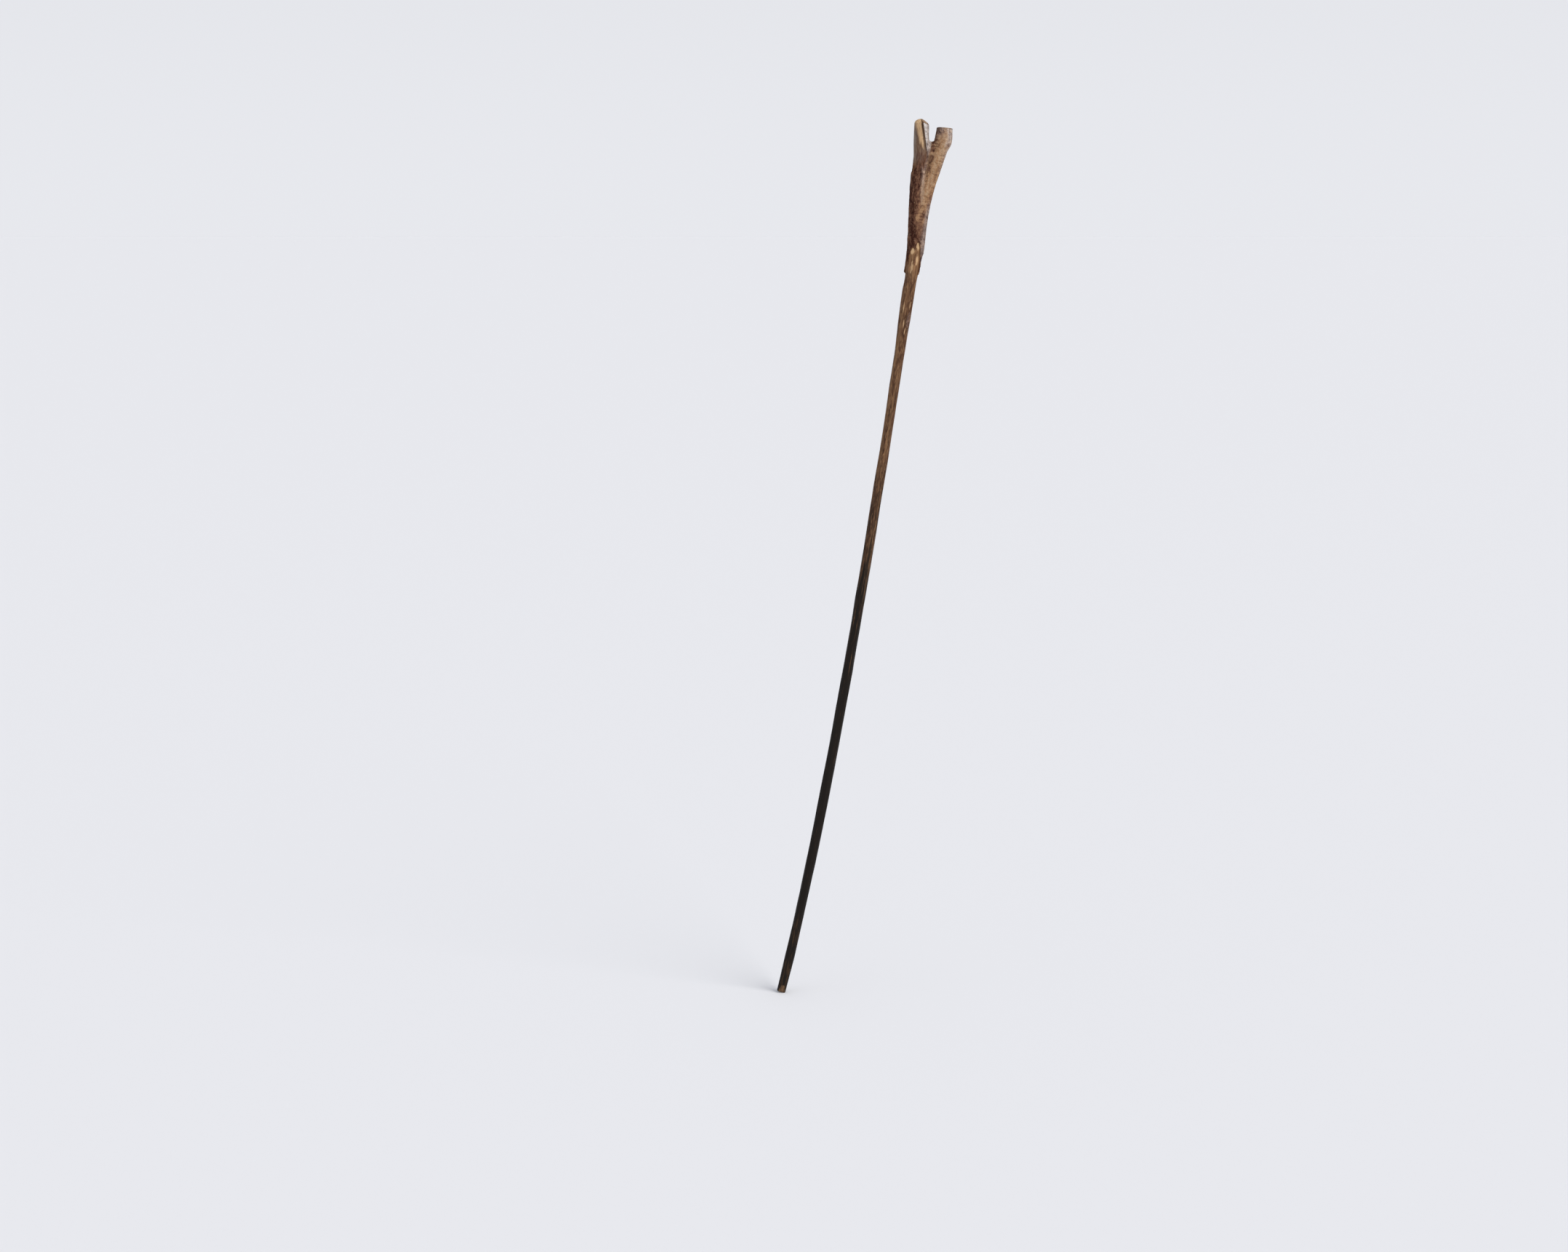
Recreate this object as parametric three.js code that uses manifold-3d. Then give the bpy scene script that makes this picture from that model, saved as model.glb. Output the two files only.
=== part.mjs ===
import * as THREE from 'three';
import { mergeVertices } from 'three/addons/utils/BufferGeometryUtils.js';
import Module from 'manifold-3d';

// A herding stick cut from one forked twig: bare whittled wood from the grip down,
// and bark left on from the grip up over the fork.
// Millimetres, +Z up, +X to the viewer's right, -Y towards the viewer.
// The origin is on the centre line in the middle of the hand grip,
// and the stick leans as it is held, with its butt down and to the left.

// Shaft, from the grip down to the butt
const shaftLength = 262.5;
const shaftLean = 8.2; // degrees from upright at the grip
const buttSweep = 8; // how far the butt swings out beyond the lean
const depthBow = 2.5; // bow of the shaft towards the back
const gripRadius = 2.3;
const shaftRadius = 1.93;
const gripTaper = 26; // length over which the grip thins to the shaft

// Knife facets along the bare shaft
const facetCount = 7;
const facetDepth = 0.17;
const facetRun = 41; // length of one knife stroke
const facetWander = 0.55; // sideways drift of the strokes, in radians
const facetFade = 6; // length below the grip over which the strokes bite in

// Butt end: a small flat end inside a worn edge, and a slanted knife cut facing the viewer
const buttEdge = 0.55; // size of the worn edge
const buttCutLength = 4.2;
const buttCutDepth = 1.1;

// The wood above the grip, as stations of [height, sideways place, radius]
const neckRadius = 2.35;
const leaderRadius = 2.08;
const leaderTopRadius = 2.45;
const leaderTipRadius = 2.2;
const branchRadius = 1.9;
const branchSwell = 2.45; // just under the cut
const branchTipRadius = 1.95;
const leaderPath = [
  [0, 0, gripRadius],
  [8, 1.2, neckRadius],
  [16, 1.75, neckRadius],
  [24, 1.85, leaderRadius],
  [34, 2.2, leaderRadius],
  [43, 2.95, 2.25],
  [50, 3.15, leaderTopRadius],
  [60, 3.3, leaderTipRadius],
];
const branchPath = [
  [4, 1.4, 1.2],
  [13, 2.45, branchRadius],
  [23, 3.6, branchRadius],
  [33, 5.65, branchRadius],
  [43, 8.85, 1.97],
  [46.5, 9.85, 2.06],
  [50, 11.2, branchSwell],
  [56, 11.85, branchTipRadius],
];
const webPath = [
  [33, 4.1, 1],
  [40, 5.45, 1.2],
  [45, 6.3, 1.2],
  [50, 7.1, 1.1],
];
const webDome = 0.7; // height of the rounded saddle in the wood

// Ends of the fork
const crotchHeight = 49.6; // bottom of the notch, on the bark
const leaderTip = 57.3;
const leaderDome = 1.6; // height of the rounded top
const slantAngle = 37; // degrees, cut on the right of the leader's top
const slantTilt = 16; // degrees, how far the same cut tips towards the viewer
const slantStart = 0.3; // from the leader's centre line to the top of the slanted cut
const branchTip = 54.2;

// Split down the leader's top, open to the viewer
const splitWidth = 0.4;
const splitDepth = 2.6;
const splitLength = 10.4;
const splitOffset = 0.05; // from the leader's centre line, to the right
const splitLean = 8; // degrees

// Bark, and what the knife took off it
const barkThickness = 0.5;
const barkClearance = 0.25;
const bareDrop = 11.6; // from the leader's tip down to where the bark starts on its left
const bareSlope = 8; // degrees, lower edge of the bare side
const barkFoot = 3; // height of the bark's lowest edge
const barkTongues = [
  // Bare tongues shaved up into the bark: [direction in degrees, half width in degrees, length]
  [-70, 29, 11.3],
  [-108, 36, 9.3],
  [2, 35, 6.6],
  [108, 36, 8.5],
  [200, 20, 5],
];

// Slivers of bark that the knife left standing on bare wood
const sliverThickness = 0.3;
const upperSliver = { height: 8.6, direction: -86, length: 4.4, width: 0.65 };
const lowerSliver = { height: -12.4, direction: -58, length: 6.4, width: 1.4 };

// Fineness of the faceted solids
const sides = 21;
const shaftStep = 5.5;
const forkStep = 3.2;
const domeTurns = [0, 25, 45, 62, 76]; // degrees, rings up a rounded top

const materials = {
  wood: { color: 0x8a6039, roughness: 0.62, metalness: 0 },
  bark: { color: 0x6b4f3d, roughness: 0.86, metalness: 0 },
};

const radians = THREE.MathUtils.degToRad;
const barkDepth = barkThickness + barkClearance;
const wasm = await Module();
wasm.setup();

function solid(geometry) {
  // Turn a closed three.js geometry into a manifold that can be joined and cut
  const bare = geometry.clone();
  bare.deleteAttribute('normal');
  bare.deleteAttribute('uv');
  const merged = mergeVertices(bare, 1e-5);
  return new wasm.Manifold(new wasm.Mesh({
    numProp: 3,
    vertProperties: new Float32Array(merged.attributes.position.array),
    triVerts: new Uint32Array(merged.index.array),
  }));
}

function geometryOf(body) {
  const mesh = body.getMesh();
  const geometry = new THREE.BufferGeometry();
  geometry.setAttribute('position', new THREE.BufferAttribute(mesh.vertProperties, 3));
  geometry.setIndex(new THREE.BufferAttribute(mesh.triVerts, 1));
  geometry.computeVertexNormals();
  return geometry;
}

function smooth(path, height, column) {
  // A smooth curve through one column of a path's stations, straight beyond its ends
  const slopeAt = (i) => {
    const before = path[Math.max(i - 1, 0)];
    const after = path[Math.min(i + 1, path.length - 1)];
    return (after[column] - before[column]) / (after[0] - before[0]);
  };
  const last = path.length - 1;
  if (height <= path[0][0]) return path[0][column] + slopeAt(0) * (height - path[0][0]);
  if (height >= path[last][0]) return path[last][column] + slopeAt(last) * (height - path[last][0]);
  const i = path.findIndex((station, k) => k < last && height < path[k + 1][0]);
  const [from, to] = [path[i], path[i + 1]];
  const gap = to[0] - from[0];
  const t = (height - from[0]) / gap;
  const rise = to[column] - from[column];
  const bend = (1 - t) * (slopeAt(i) * gap - rise) - t * (slopeAt(i + 1) * gap - rise);
  return from[column] + rise * t + t * (1 - t) * bend;
}

function shaftCentre(height) {
  const share = -height / shaftLength;
  const x = height * Math.tan(radians(shaftLean)) - buttSweep * share ** 3;
  return new THREE.Vector3(x, depthBow * Math.sin(Math.PI * share) ** 2, height);
}

function pathCentre(path) {
  return (height) => new THREE.Vector3(smooth(path, height, 1), 0, height);
}

function stemCentre(height) {
  return height < 0 ? shaftCentre(height) : pathCentre(leaderPath)(height);
}

function knifeFacet(height, angle) {
  // Depth of the knife's flats under the round, fading out above the grip
  const drift = facetWander * Math.sin((2 * Math.PI * height) / facetRun);
  const turn = ((angle + drift) * facetCount) / (2 * Math.PI);
  const fromEdge = Math.abs(turn - Math.round(turn)) * 2;
  return facetDepth * (1 - fromEdge ** 2) * THREE.MathUtils.smoothstep(-height, 0, facetFade);
}

function stemRadius(height, angle) {
  if (height >= 0) return smooth(leaderPath, height, 2);
  const thinned = THREE.MathUtils.smoothstep(-height, 0, gripTaper);
  const round = THREE.MathUtils.lerp(gripRadius, shaftRadius, thinned);
  const toEnd = shaftLength + height;
  const worn = Math.max(buttEdge - toEnd, 0);
  return round - knifeFacet(height, angle) - worn;
}

function pathRadius(path) {
  return (height) => smooth(path, height, 2);
}

function frameAt(centre, height) {
  // Directions across the limb: to the right, to the back and along it, at one height
  const reach = 0.05;
  const along = centre(height + reach).sub(centre(height - reach)).normalize();
  const right = new THREE.Vector3(0, 1, 0).cross(along).normalize();
  const back = along.clone().cross(right);
  return { point: centre(height), right, back, along };
}

function loft(rings) {
  // One closed skin through rings of equal count, with a flat fan over each end
  const count = rings[0].length;
  const points = rings.flat();
  const index = [];
  for (let row = 0; row + 1 < rings.length; row += 1) {
    for (let i = 0; i < count; i += 1) {
      const a = row * count + i;
      const b = row * count + ((i + 1) % count);
      index.push(a, b, b + count, a, b + count, a + count);
    }
  }
  const foot = points.length;
  const top = foot + 1;
  const lastRow = (rings.length - 1) * count;
  points.push(middle(rings[0]), middle(rings.at(-1)));
  for (let i = 0; i < count; i += 1) {
    const next = (i + 1) % count;
    index.push(foot, next, i);
    index.push(top, lastRow + i, lastRow + next);
  }
  const geometry = new THREE.BufferGeometry().setFromPoints(points);
  geometry.setIndex(index);
  return geometry;
}

function middle(ring) {
  return ring.reduce((sum, p) => sum.add(p), new THREE.Vector3()).divideScalar(ring.length);
}

function limb(centre, radius, heights, { grow = 0, dome = 0 } = {}) {
  // A limb of the twig: rings square to its centre line, all grown outwards by one amount.
  // A dome rounds its top, with rings closer together up to a small flat.
  const top = heights.at(-1);
  const spring = top - dome;
  const turns = dome > 0 ? domeTurns : [];
  const levels = dome > 0 ? heights.filter((height) => height < spring - dome / 2) : heights;
  levels.push(...turns.map((turn) => spring + dome * Math.sin(radians(turn))));
  const rings = levels.map((height) => {
    const { point, right, back } = frameAt(centre, height);
    const worn = dome > 0 ? Math.max(height - spring, 0) / dome : 0;
    return Array.from({ length: sides }, (_, i) => {
      const angle = (2 * Math.PI * i) / sides;
      const r = (radius(height, angle) + grow) * Math.sqrt(1 - worn ** 2);
      return point.clone()
        .addScaledVector(right, r * Math.cos(angle))
        .addScaledVector(back, r * Math.sin(angle));
    });
  });
  return solid(loft(rings));
}

function steps(from, to, step) {
  const count = Math.max(Math.ceil((to - from) / step), 1);
  return Array.from({ length: count + 1 }, (_, i) => from + ((to - from) * i) / count);
}

function fork(leader, grow, overrun = 0) {
  // A leader joined to its branch and to the web between them, as one solid
  const branch = limb(
    pathCentre(branchPath),
    pathRadius(branchPath),
    steps(branchPath[0][0], branchTip + overrun, forkStep),
    { grow },
  );
  const webTop = crotchHeight - barkDepth + grow;
  const web = limb(
    pathCentre(webPath),
    pathRadius(webPath),
    steps(webPath[0][0], webTop, forkStep),
    { grow, dome: webDome + grow },
  );
  return leader.add(branch).add(web);
}

function forkSkin(grow, overrun = 0) {
  // The fork above the grip alone, grown outwards by one amount and rounded at the
  // leader's top, or run on past its ends so that it cuts right through another skin
  const heights = steps(0, leaderTip + overrun, forkStep);
  const dome = overrun > 0 ? 0 : leaderDome + grow;
  return fork(limb(stemCentre, stemRadius, heights, { grow, dome }), grow, overrun);
}

function block(width, depth, height) {
  return new THREE.BoxGeometry(width, depth, height);
}

function slantCutter() {
  // The knife's slanted cut across the right of the leader's top
  const size = 6;
  const geometry = block(size, 2 * size, size).translate(size / 2, 0, size / 2);
  const { point } = frameAt(stemCentre, leaderTip);
  return geometry
    .rotateY(radians(slantAngle))
    .rotateX(radians(slantTilt))
    .translate(point.x + slantStart, 0, point.z);
}

function splitCutter() {
  // A drying split that runs down from the leader's top, cut in from the front
  const front = smooth(leaderPath, leaderTip, 2) + 1;
  const height = splitLength + 3;
  const geometry = block(splitWidth, front, height);
  const { point } = frameAt(stemCentre, leaderTip);
  return geometry
    .translate(0, -front / 2, -splitLength + height / 2)
    .rotateY(radians(-splitLean))
    .translate(point.x + splitOffset, splitDepth - smooth(leaderPath, leaderTip, 2), point.z);
}

function buttCutter() {
  // The slanted knife cut on the front of the butt
  const { point, right, back, along } = frameAt(stemCentre, -shaftLength);
  const size = 10;
  const tilt = Math.atan2(buttCutDepth, buttCutLength);
  const geometry = block(size, size, size)
    .translate(0, -size / 2, 0)
    .rotateX(tilt)
    .translate(0, buttCutDepth - shaftRadius, 0);
  return geometry.applyMatrix4(new THREE.Matrix4().makeBasis(right, back, along).setPosition(point));
}

const stem = limb(stemCentre, stemRadius, [
  -shaftLength,
  ...steps(-shaftLength + buttEdge, 0, shaftStep),
  ...steps(0, leaderTip, forkStep).slice(1),
], { dome: leaderDome });
const wood = fork(stem, 0)
  .subtract(solid(slantCutter()))
  .subtract(solid(splitCutter()))
  .subtract(solid(buttCutter()));

function bareSideCutter() {
  // The side of the leader's top that is bare of bark, left of the split
  const size = 14;
  const lean = Math.tan(radians(splitLean));
  const edge = smooth(leaderPath, leaderTip, 1) + splitOffset;
  const low = leaderTip - bareDrop;
  const shape = new THREE.Shape([
    new THREE.Vector2(edge - size, low - size * Math.tan(radians(bareSlope))),
    new THREE.Vector2(edge + bareDrop * lean, low),
    new THREE.Vector2(edge - size * lean, leaderTip + size),
    new THREE.Vector2(edge - size, leaderTip + size),
  ]);
  return new THREE.ExtrudeGeometry(shape, { depth: size, bevelEnabled: false })
    .translate(0, 0, -size / 2)
    .rotateX(Math.PI / 2);
}

function footCutter() {
  // What the knife took off below the bark: a crown whose points are the bare tongues
  const count = 72;
  const reach = 8;
  const ring = (radius, heightAt) => Array.from({ length: count }, (_, i) => {
    const angle = (2 * Math.PI * i) / count;
    const height = heightAt(angle);
    const centre = stemCentre(height);
    return new THREE.Vector3(
      centre.x + radius * Math.cos(angle),
      centre.y + radius * Math.sin(angle),
      height,
    );
  });
  const edge = (angle) => barkTongues.reduce((height, [direction, halfWidth, length]) => {
    const away = Math.abs(Math.atan2(
      Math.sin(angle - radians(direction)),
      Math.cos(angle - radians(direction)),
    ));
    const share = away / radians(halfWidth);
    return share < 1 ? Math.max(height, barkFoot + length * Math.sqrt(1 - share ** 2)) : height;
  }, barkFoot);
  const floor = () => -reach;
  return loft([ring(0.5, floor), ring(reach, floor), ring(reach, edge), ring(0.5, edge)]);
}

const bark = forkSkin(barkDepth)
  .subtract(forkSkin(barkClearance, 1))
  .subtract(solid(slantCutter()))
  .subtract(solid(bareSideCutter()))
  .subtract(solid(footCutter()));

function sliver({ height, direction, length, width }) {
  // A thin pointed strip of bark on the wood, cut from a shell that follows the stem
  const heights = steps(height - length, height + length, shaftStep / 4);
  const outer = limb(stemCentre, stemRadius, heights, { grow: barkClearance + sliverThickness });
  const inner = limb(stemCentre, stemRadius, heights, { grow: barkClearance });
  const { point, right, back, along } = frameAt(stemCentre, height);
  const outline = new THREE.Shape([
    new THREE.Vector2(0, -length / 2),
    new THREE.Vector2(width / 2, -length / 8),
    new THREE.Vector2(width / 2, length / 5),
    new THREE.Vector2(0, length / 2),
    new THREE.Vector2(-width / 2, length / 6),
    new THREE.Vector2(-width / 2, -length / 5),
  ]);
  const turn = radians(direction);
  const outward = right.clone().multiplyScalar(Math.cos(turn)).addScaledVector(back, Math.sin(turn));
  const sideways = along.clone().cross(outward);
  const cutter = new THREE.ExtrudeGeometry(outline, { depth: 6, bevelEnabled: false })
    .applyMatrix4(new THREE.Matrix4().makeBasis(sideways, along, outward).setPosition(point));
  return outer.subtract(inner).intersect(solid(cutter));
}

function piece(name, body, look) {
  const mesh = new THREE.Mesh(geometryOf(body), new THREE.MeshStandardMaterial(look));
  mesh.name = name;
  return mesh;
}

const stick = new THREE.Group();
stick.name = 'herding_stick';
stick.add(piece('forked_stem', wood, materials.wood));
stick.add(piece('bark', bark, materials.bark));
stick.add(piece('bark_sliver_upper', sliver(upperSliver), materials.bark));
stick.add(piece('bark_sliver_lower', sliver(lowerSliver), materials.bark));

export default stick;
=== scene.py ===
import math

import bpy
import numpy as np
from mathutils import Matrix, Vector


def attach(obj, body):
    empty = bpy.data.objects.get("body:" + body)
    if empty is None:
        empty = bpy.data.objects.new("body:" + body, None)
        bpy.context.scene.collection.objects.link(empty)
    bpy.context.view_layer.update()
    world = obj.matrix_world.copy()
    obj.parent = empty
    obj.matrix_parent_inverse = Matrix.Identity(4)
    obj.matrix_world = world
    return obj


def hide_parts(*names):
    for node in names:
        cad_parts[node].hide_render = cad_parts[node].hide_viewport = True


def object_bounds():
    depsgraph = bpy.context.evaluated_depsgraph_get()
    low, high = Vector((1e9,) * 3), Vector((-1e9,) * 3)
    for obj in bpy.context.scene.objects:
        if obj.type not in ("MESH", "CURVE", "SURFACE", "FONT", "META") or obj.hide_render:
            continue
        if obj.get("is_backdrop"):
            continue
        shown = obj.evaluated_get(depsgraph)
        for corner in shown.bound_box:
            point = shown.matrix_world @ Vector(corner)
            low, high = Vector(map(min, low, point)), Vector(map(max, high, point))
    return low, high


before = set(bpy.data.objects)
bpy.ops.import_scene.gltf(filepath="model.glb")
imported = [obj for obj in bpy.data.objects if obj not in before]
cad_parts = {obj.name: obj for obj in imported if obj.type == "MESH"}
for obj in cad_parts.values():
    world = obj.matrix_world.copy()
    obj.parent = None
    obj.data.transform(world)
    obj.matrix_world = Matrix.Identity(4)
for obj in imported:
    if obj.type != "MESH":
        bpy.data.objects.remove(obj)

cad_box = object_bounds()

# Whittled stem
# One grown twig, cut off at the butt and at both prongs of its fork. From the grip down a
# knife has pared it to a thin shaft in long strokes. The bare wood is golden brown at the
# grip and dark with stain from there to the butt, where a last cut shows fresh wood. Painted
# shade laid over the stain makes the lower shaft nearly black.
MM = 0.001  # pieces are made in millimetres and turned to metres at the end
rng = np.random.default_rng(41)

SHAFT_LENGTH = 262.5  # from the middle of the grip down to the butt
SHAFT_LEAN = math.radians(8.2)
BUTT_SWEEP = 8.0  # how far the butt swings out beyond the lean
DEPTH_BOW = 2.5  # bow of the shaft towards the back
GRIP_RADIUS = 2.3
SHAFT_RADIUS = 1.93
GRIP_TAPER = 26.0  # length over which the grip thins to the shaft
GRIP_FULLNESS = 0.28  # how much more wood the knife left on the left side below the grip

# Stations of each limb: height, sideways place and radius. The leader is the fork's left
# prong, the branch its right prong, and the web is the wood that fills the crotch.
LEADER_PATH = np.array([
    [0, 0, 2.3], [8, 1.2, 2.35], [16, 1.75, 2.35], [24, 1.85, 2.08],
    [34, 2.2, 2.08], [43, 2.95, 2.25], [50, 3.15, 2.45], [60, 3.3, 2.2],
])
BRANCH_PATH = np.array([
    [4, 1.4, 1.2], [13, 2.45, 1.9], [23, 3.6, 1.9], [33, 5.65, 1.9],
    [43, 8.9, 2.0], [46.5, 9.98, 2.13], [50, 11.18, 2.45], [56, 11.85, 1.95],
])
WEB_PATH = np.array([[33, 4.1, 1], [40, 5.45, 1.2], [45, 6.3, 1.2], [50, 7.1, 1.1]])


def smooth(path, height, column):
    """One column of a path as a smooth curve through its stations, straight beyond its ends."""
    place, value = path[:, 0], path[:, column]
    last = len(path) - 1
    after = np.minimum(np.arange(len(path)) + 1, last)
    before = np.maximum(np.arange(len(path)) - 1, 0)
    slope = (value[after] - value[before]) / (place[after] - place[before])
    h = np.asarray(height, float)
    i = np.clip(np.searchsorted(place, h, side="right") - 1, 0, last - 1)
    gap = place[i + 1] - place[i]
    t = (h - place[i]) / gap
    rise = value[i + 1] - value[i]
    bend = (1 - t) * (slope[i] * gap - rise) - t * (slope[i + 1] * gap - rise)
    inner = value[i] + rise * t + t * (1 - t) * bend
    low = value[0] + slope[0] * (h - place[0])
    high = value[-1] + slope[-1] * (h - place[-1])
    return np.where(h <= place[0], low, np.where(h >= place[-1], high, inner))


def ramp(value, low, high):
    """0 at low and 1 at high, with a smooth rise between them."""
    t = np.clip((value - low) / (high - low), 0, 1)
    return t * t * (3 - 2 * t)


def fading(distance, width):
    """1 where a distance is nothing, falling away on both sides over a width."""
    return np.exp(-(distance / width) ** 2)


def merged(a, b, softness):
    """The smaller of two values, run together softly where they meet."""
    share = np.clip(0.5 + 0.5 * (b - a) / softness, 0, 1)
    return b + (a - b) * share - softness * share * (1 - share)


def spots(x, y, z):
    """Points from their coordinates, each a number or a grid of numbers."""
    return np.stack(np.broadcast_arrays(x, y, z), axis=-1)


def stem_centre(height):
    share = -np.minimum(height, 0) / SHAFT_LENGTH
    shaft = height * math.tan(SHAFT_LEAN) - BUTT_SWEEP * share ** 3
    sideways = np.where(height < 0, shaft, smooth(LEADER_PATH, height, 1))
    return spots(sideways, DEPTH_BOW * np.sin(np.pi * share) ** 2, height)


def branch_centre(height):
    return spots(smooth(BRANCH_PATH, height, 1), 0.0, height)


def web_centre(height):
    return spots(smooth(WEB_PATH, height, 1), 0.0, height)


def directions(centre, height):
    """Unit directions to the right of a limb, to its back and along it."""
    reach = 0.05
    along = centre(height + reach) - centre(height - reach)
    along = along / np.linalg.norm(along, axis=-1, keepdims=True)
    right = np.cross([0.0, 1.0, 0.0], along)
    right = right / np.linalg.norm(right, axis=-1, keepdims=True)
    return right, np.cross(along, right), along


def set_out(centre, levels, *reaches):
    """Points so far to the right of a limb's centre line at each level, to its back and along."""
    rows = centre(levels)[:, None, :]
    for reach, way in zip(reaches, directions(centre, levels)):
        rows = rows + reach[..., None] * way[:, None, :]
    return rows


def straightened(points, centre):
    """Where points lie in a limb with its bends taken out: across it, back and along."""
    height = points[:, 2].copy()
    for _ in range(3):
        along = directions(centre, height)[2]
        height += np.sum((points - centre(height)) * along, axis=1) * along[:, 2]
    away = points - centre(height)
    right, back, _ = directions(centre, height)
    return spots(np.sum(away * right, axis=1), np.sum(away * back, axis=1), height)


def turn_of(place):
    """Direction of each point round its limb."""
    return np.arctan2(place[:, 1], place[:, 0])


def places_in(points):
    """Points in the straightened leader and out from its wood, then the same for the branch."""
    found = []
    for centre, path in ((stem_centre, LEADER_PATH), (branch_centre, BRANCH_PATH)):
        place = straightened(points, centre)
        found += [place, np.hypot(place[:, 0], place[:, 1]) - smooth(path, place[:, 2], 2)]
    return found


LATTICE_SIZE = 48
LATTICE = rng.random((LATTICE_SIZE, LATTICE_SIZE, LATTICE_SIZE)) * 2 - 1


def noise(points, across, back, along):
    """Seeded value noise from -1 to 1, with so many waves a millimetre each way."""
    p = points * np.array([across, back, along])
    cell = np.floor(p).astype(int)
    t = p - cell
    t = t * t * (3 - 2 * t)
    total = 0
    for corner in range(8):
        step = np.array([corner & 1, corner >> 1 & 1, corner >> 2 & 1])
        i, j, k = np.moveaxis((cell + step) % LATTICE_SIZE, -1, 0)
        total = total + np.prod(np.where(step, t, 1 - t), axis=-1) * LATTICE[i, j, k]
    return total


# Knife strokes, in rows down the stem, each a long shallow flat: height and direction of
# its middle, half its length, its depth and its tone
STROKE_ROWS = 15
STROKES_ROUND = 7
STROKE_STEP = 19.0
FIRST_STROKE = 1.0
strokes = []
for row in range(STROKE_ROWS):
    for turn in range(STROKES_ROUND):
        strokes.append((
            FIRST_STROKE - row * STROKE_STEP + rng.uniform(-6, 6),
            2 * math.pi * (turn + 0.5 * row) / STROKES_ROUND + rng.uniform(-0.2, 0.2),
            rng.uniform(14, 26),
            rng.uniform(0.12, 0.24),
            rng.uniform(-1, 1),
        ))

# The butt: a slanted last cut that faces the viewer, and an edge worn round by use
BUTT_CUT_LENGTH = 4.2
BUTT_CUT_DEPTH = 1.1
BUTT_CUT_SOFTNESS = 0.12
BUTT_EDGE = 0.55
BUTT_WEAR = 0.14  # how much thinner use has worn the last stretch
BUTT_WORN_LENGTH = 14
FRONT = -math.pi / 2

# The top of the leader, rounded on the left and cut at a slant on the right
LEADER_TIP = 57.25
LEADER_DOME = 1.6
SLANT = math.radians(37)
SLANT_TILT = math.radians(16)  # how far the same cut tips towards the viewer
SLANT_START = 0.3  # from the leader's centre line to the top of the slanted cut
SLANT_FACING = np.array([
    math.sin(SLANT),
    -math.cos(SLANT) * math.sin(SLANT_TILT),
    math.cos(SLANT) * math.cos(SLANT_TILT),
])
BRANCH_TIP = 54.2
UNDER_BARK = 0.2  # how far the wood under the bark swells to meet it

# Unevenness of the wood
PARED_OFF = 0.05
WOOD_LUMPS = 0.03
WOOD_FIBRES = 0.012
BARE_TOP_RIDGES = 0.035


def stem_skin(height, angle):
    """Radius of the stem's wood, the tone of the knife stroke that left it, and fresh cuts."""
    pared = GRIP_RADIUS + (SHAFT_RADIUS - GRIP_RADIUS) * ramp(-height, 0, GRIP_TAPER)
    barked = ramp(height, 0, 7) * (1 - ramp(height, 40, 45) * ramp(-np.cos(angle), -0.5, -0.1))
    radius = np.where(height < 0, pared, smooth(LEADER_PATH, height, 2) + UNDER_BARK * barked)
    ring = spots(2 * np.cos(angle), 2 * np.sin(angle), height)
    radius = radius - PARED_OFF + WOOD_LUMPS * noise(ring, 0.6, 0.6, 0.17)
    radius = radius + WOOD_FIBRES * noise(ring, 3.1, 3.1, 0.4)
    bare_top = ramp(height, 43, 46) * ramp(-np.cos(angle), -0.3, 0.1)
    radius = radius + BARE_TOP_RIDGES * bare_top * noise(ring, 2.3, 2.3, 0.1)
    radius = radius - BUTT_WEAR * ramp(-height, SHAFT_LENGTH - BUTT_WORN_LENGTH, SHAFT_LENGTH)
    below_grip = ramp(height, -26, -12) * ramp(-height, -2, 3)
    radius = radius + GRIP_FULLNESS * below_grip * ramp(-np.cos(angle), 0.1, 0.8)

    # The knife strokes, of which the deepest shows at each point
    skin = radius.copy()
    tone = np.zeros_like(radius)
    for middle, facing, half, depth, shade in strokes:
        share = (height - middle) / half
        away = np.cos(angle - facing)
        flat = (radius - depth * (1 - share ** 2)) / np.maximum(away, 0.5)
        cuts = (np.abs(share) < 1) & (away > 0.5) & (flat < skin)
        tone = np.where(cuts, shade, tone)
        skin = np.where(cuts, flat, skin)

    # The slanted last cut at the butt and the worn edge round it
    to_end = height + SHAFT_LENGTH
    away = np.cos(angle - FRONT)
    bevel = SHAFT_RADIUS - BUTT_CUT_DEPTH * (1 - to_end / BUTT_CUT_LENGTH)
    bevel = bevel / np.maximum(away, 0.2)
    cuts = (to_end < BUTT_CUT_LENGTH + 0.8) & (away > 0.2)
    cut = np.where(cuts, ramp(skin - bevel, -BUTT_CUT_SOFTNESS, BUTT_CUT_SOFTNESS), 0)
    skin = np.where(cuts, merged(bevel, skin, BUTT_CUT_SOFTNESS), skin)
    worn = np.clip(1 - to_end / BUTT_EDGE, 0, 1)
    skin = skin - BUTT_EDGE * (1 - np.sqrt(1 - worn ** 2))

    # The leader's rounded top and the slanted cut on its right
    dome = np.clip((height - LEADER_TIP + LEADER_DOME) / LEADER_DOME, 0, 1)
    skin = skin * np.sqrt(1 - 0.985 * dome ** 2)
    towards = SLANT_FACING[0] * np.cos(angle) + SLANT_FACING[1] * np.sin(angle)
    slant = SLANT_START * SLANT_FACING[0] + (LEADER_TIP - height) * SLANT_FACING[2]
    slant = slant / np.maximum(towards, 0.1)
    cuts = (height > LEADER_TIP - 6) & (towards > 0.1)
    cut = np.maximum(cut, np.where(cuts, ramp(skin - slant, -0.05, 0.08), 0))
    return np.where(cuts, np.minimum(slant, skin), skin), tone, cut


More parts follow.
